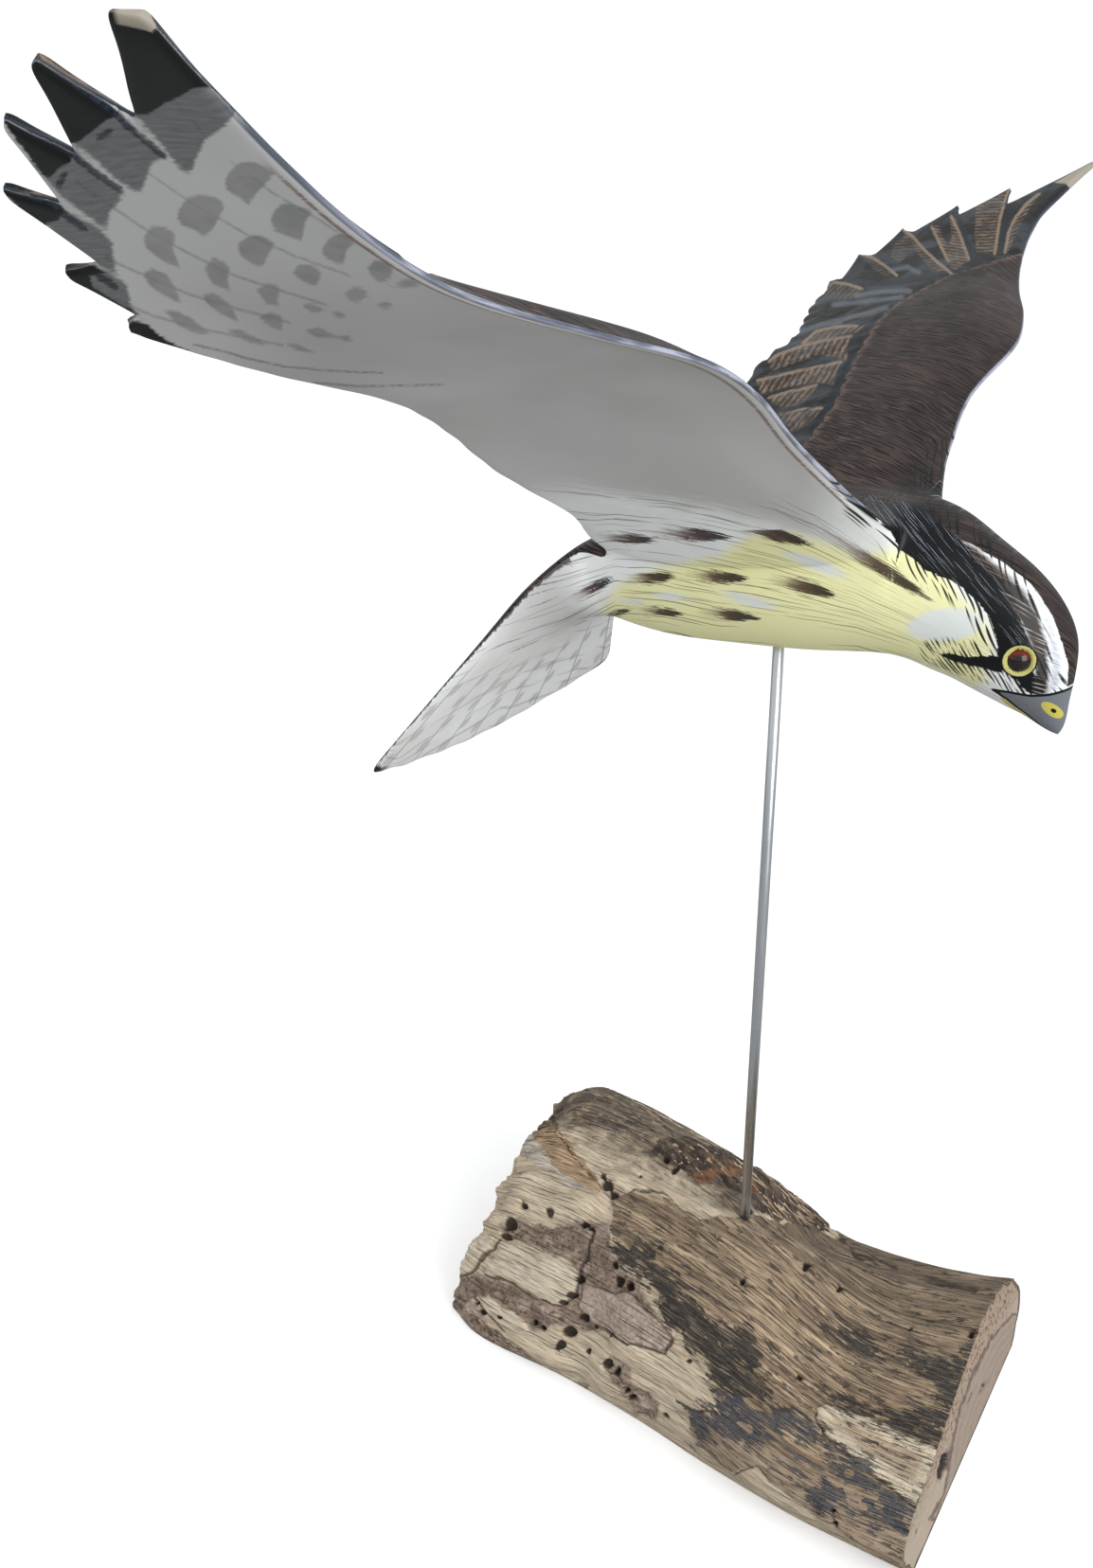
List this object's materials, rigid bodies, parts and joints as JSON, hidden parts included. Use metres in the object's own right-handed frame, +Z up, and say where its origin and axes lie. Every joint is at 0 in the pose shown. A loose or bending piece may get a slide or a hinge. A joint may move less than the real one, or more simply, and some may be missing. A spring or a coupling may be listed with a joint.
{
  "type": "carved bird sculpture",
  "caption": "Carved and painted kestrel hovering with raised wings and fanned tail, on an upright steel rod set in a weathered driftwood log that stands on its flat underside.",
  "frame": {"origin": "on the flat underside of the log, straight below the axis of the rod", "axes": "+X the way the bird faces, +Y its left side and the line of its wings, +Z up"},
  "size_m": [0.2289, 0.6153, 0.4667],
  "materials": {
    "painted_wood": "carved wood painted in thin satin coats",
    "eye_glass": "dark polished glass bead",
    "rod_steel": "bright drawn bar, lightly brushed",
    "driftwood": "bare weathered wood with dark stains and pits"
  },
  "bodies": {
    "root": {"bird": "painted_wood", "left_eye": "eye_glass", "right_eye": "eye_glass", "rod": "rod_steel", "log_base": "driftwood"}
  },
  "joints": []
}
